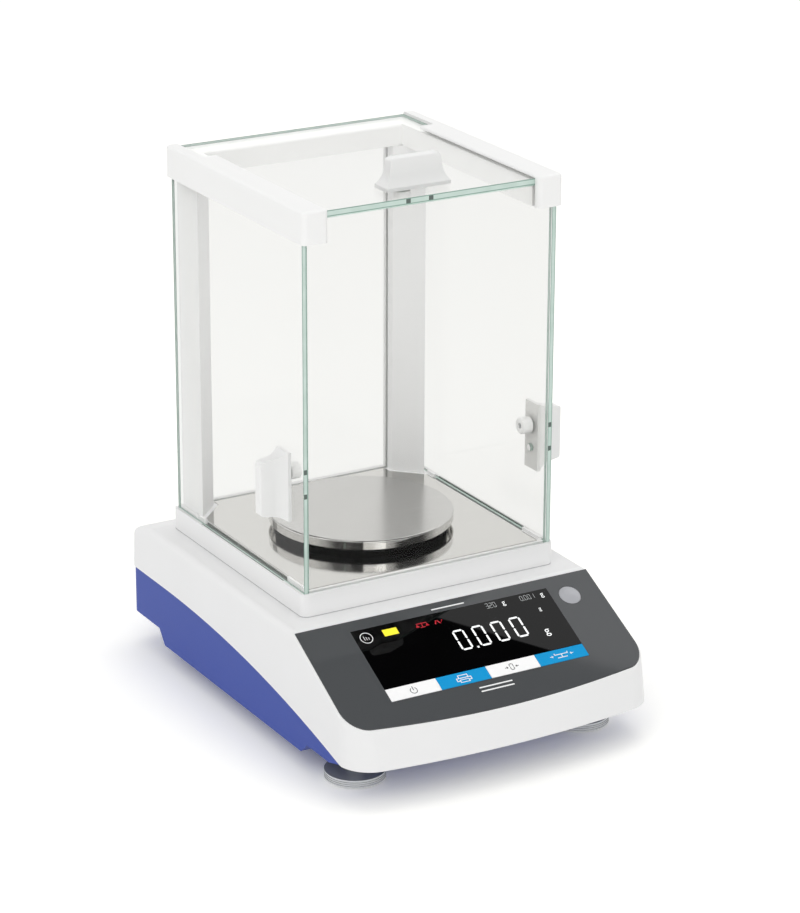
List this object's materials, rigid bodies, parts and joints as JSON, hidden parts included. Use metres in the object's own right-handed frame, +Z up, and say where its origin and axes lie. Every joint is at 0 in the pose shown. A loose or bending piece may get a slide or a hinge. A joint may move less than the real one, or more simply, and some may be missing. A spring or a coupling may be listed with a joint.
{
  "type": "precision balance",
  "caption": "Laboratory precision balance with a sloping control panel, levelling feet and a glass draft shield with sliding side and top doors.",
  "frame": {"origin": "middle of the bounding box at table height, under the feet", "axes": "+Z up, -Y towards the user and the control panel, +X to the user's right"},
  "size_m": [0.2208, 0.3232, 0.3702],
  "materials": {
    "housing_white": "satin moulded",
    "tray_blue": "satin paint on a die casting",
    "panel_film": "fine satin film",
    "display_glass": "dark gloss window",
    "display_black": "matt",
    "board_green": "solder resist",
    "board_parts": "plain",
    "key_white": "satin",
    "key_blue": "satin",
    "level_grey": "satin",
    "steel_screw": "zinc plated",
    "cell_aluminium": "machined",
    "steel_plate": "brushed stainless",
    "track_grey": "low-friction plastic",
    "clear_glass": "clear float glass with greenish edges",
    "support_black": "satin",
    "connector": "satin",
    "insert_brass": "knurled",
    "foot_metal": "turned",
    "foot_rubber": "matt"
  },
  "bodies": {
    "balance": {"upper_housing": "housing_white", "shield_base": "housing_white", "left_column": "housing_white", "right_column": "housing_white", "left_rail": "housing_white", "right_rail": "housing_white", "rear_beam": "housing_white", "lower_housing": "tray_blue", "panel_film": "panel_film", "display_window": "display_glass", "display_module": "display_black", "key_switches": "display_black", "display_board": "board_green", "main_board": "board_green", "main_board_parts": "board_parts", "level_cup": "level_grey", "level_dome": "level_grey", "board_screws": "steel_screw", "load_cell_screws": "steel_screw", "overload_stops": "steel_screw", "housing_screws": "steel_screw", "shield_base_screws": "steel_screw", "tie_rods": "steel_screw", "load_cell": "cell_aluminium", "load_cell_block": "cell_aluminium", "load_receiver": "cell_aluminium", "floor_plate": "steel_plate", "left_door_track": "track_grey", "right_door_track": "track_grey", "front_pane": "clear_glass", "rear_pane": "clear_glass", "power_inlet": "connector", "serial_port": "connector", "foot_inserts": "insert_brass"},
    "left_door": {"left_door": "clear_glass", "left_handle": "housing_white", "left_handle_stud": "steel_screw", "left_thumb_nut": "housing_white"},
    "right_door": {"right_door": "clear_glass", "right_handle": "housing_white", "right_handle_stud": "steel_screw", "right_thumb_nut": "housing_white"},
    "top_door": {"top_door": "clear_glass", "top_handle": "housing_white", "top_handle_stud": "steel_screw", "top_thumb_nut": "housing_white"},
    "pan_support": {"pan_support": "support_black"},
    "weighing_pan": {"weighing_pan": "steel_plate"},
    "power_key": {"power_key": "key_white"},
    "print_key": {"print_key": "key_blue"},
    "zero_key": {"zero_key": "key_white"},
    "tare_key": {"tare_key": "key_blue"},
    "front_left_foot_pad": {"front_left_foot_pad": "foot_rubber"},
    "front_left_foot_screw": {"front_left_foot_screw": "foot_metal"},
    "front_right_foot_pad": {"front_right_foot_pad": "foot_rubber"},
    "front_right_foot_screw": {"front_right_foot_screw": "foot_metal"},
    "rear_left_foot_pad": {"rear_left_foot_pad": "foot_rubber"},
    "rear_left_foot_screw": {"rear_left_foot_screw": "foot_metal"},
    "rear_right_foot_pad": {"rear_right_foot_pad": "foot_rubber"},
    "rear_right_foot_screw": {"rear_right_foot_screw": "foot_metal"}
  },
  "joints": [
    {"name": "left_door_slide", "type": "slide", "parent": "balance", "child": "left_door", "axis": [0, 1, 0], "range_m": [0, 0.118]},
    {"name": "right_door_slide", "type": "slide", "parent": "balance", "child": "right_door", "axis": [0, 1, 0], "range_m": [0, 0.118]},
    {"name": "top_door_slide", "type": "slide", "parent": "balance", "child": "top_door", "axis": [0, 1, 0], "range_m": [0, 0.13]},
    {"name": "pan_support_lift", "type": "slide", "parent": "balance", "child": "pan_support", "axis": [0, 0, 1], "range_m": [0, 0.03]},
    {"name": "weighing_pan_lift", "type": "slide", "parent": "pan_support", "child": "weighing_pan", "axis": [0, 0, 1], "range_m": [0, 0.04]},
    {"name": "power_key_press", "type": "slide", "parent": "balance", "child": "power_key", "axis": [0, 0.4617, -0.887], "range_m": [0, 0.0004], "stiffness_N_per_m": 2000},
    {"name": "print_key_press", "type": "slide", "parent": "balance", "child": "print_key", "axis": [0, 0.4617, -0.887], "range_m": [0, 0.0004], "stiffness_N_per_m": 2000},
    {"name": "zero_key_press", "type": "slide", "parent": "balance", "child": "zero_key", "axis": [0, 0.4617, -0.887], "range_m": [0, 0.0004], "stiffness_N_per_m": 2000},
    {"name": "tare_key_press", "type": "slide", "parent": "balance", "child": "tare_key", "axis": [0, 0.4617, -0.887], "range_m": [0, 0.0004], "stiffness_N_per_m": 2000},
    {"name": "front_left_foot_height", "type": "slide", "parent": "balance", "child": "front_left_foot_pad", "axis": [0, 0, -1], "range_m": [0, 0.008]},
    {"name": "front_left_foot_turn", "type": "hinge", "parent": "front_left_foot_pad", "child": "front_left_foot_screw", "pos_m": [-0.0828, -0.1061, 0], "axis": [0, 0, -1], "range_deg": [0, 2304]},
    {"name": "front_right_foot_height", "type": "slide", "parent": "balance", "child": "front_right_foot_pad", "axis": [0, 0, -1], "range_m": [0, 0.008]},
    {"name": "front_right_foot_turn", "type": "hinge", "parent": "front_right_foot_pad", "child": "front_right_foot_screw", "pos_m": [0.0828, -0.1061, 0], "axis": [0, 0, -1], "range_deg": [0, 2304]},
    {"name": "rear_left_foot_height", "type": "slide", "parent": "balance", "child": "rear_left_foot_pad", "axis": [0, 0, -1], "range_m": [0, 0.008]},
    {"name": "rear_left_foot_turn", "type": "hinge", "parent": "rear_left_foot_pad", "child": "rear_left_foot_screw", "pos_m": [-0.07, 0.1256, 0], "axis": [0, 0, -1], "range_deg": [0, 2304]},
    {"name": "rear_right_foot_height", "type": "slide", "parent": "balance", "child": "rear_right_foot_pad", "axis": [0, 0, -1], "range_m": [0, 0.008]},
    {"name": "rear_right_foot_turn", "type": "hinge", "parent": "rear_right_foot_pad", "child": "rear_right_foot_screw", "pos_m": [0.07, 0.1256, 0], "axis": [0, 0, -1], "range_deg": [0, 2304]}
  ]
}
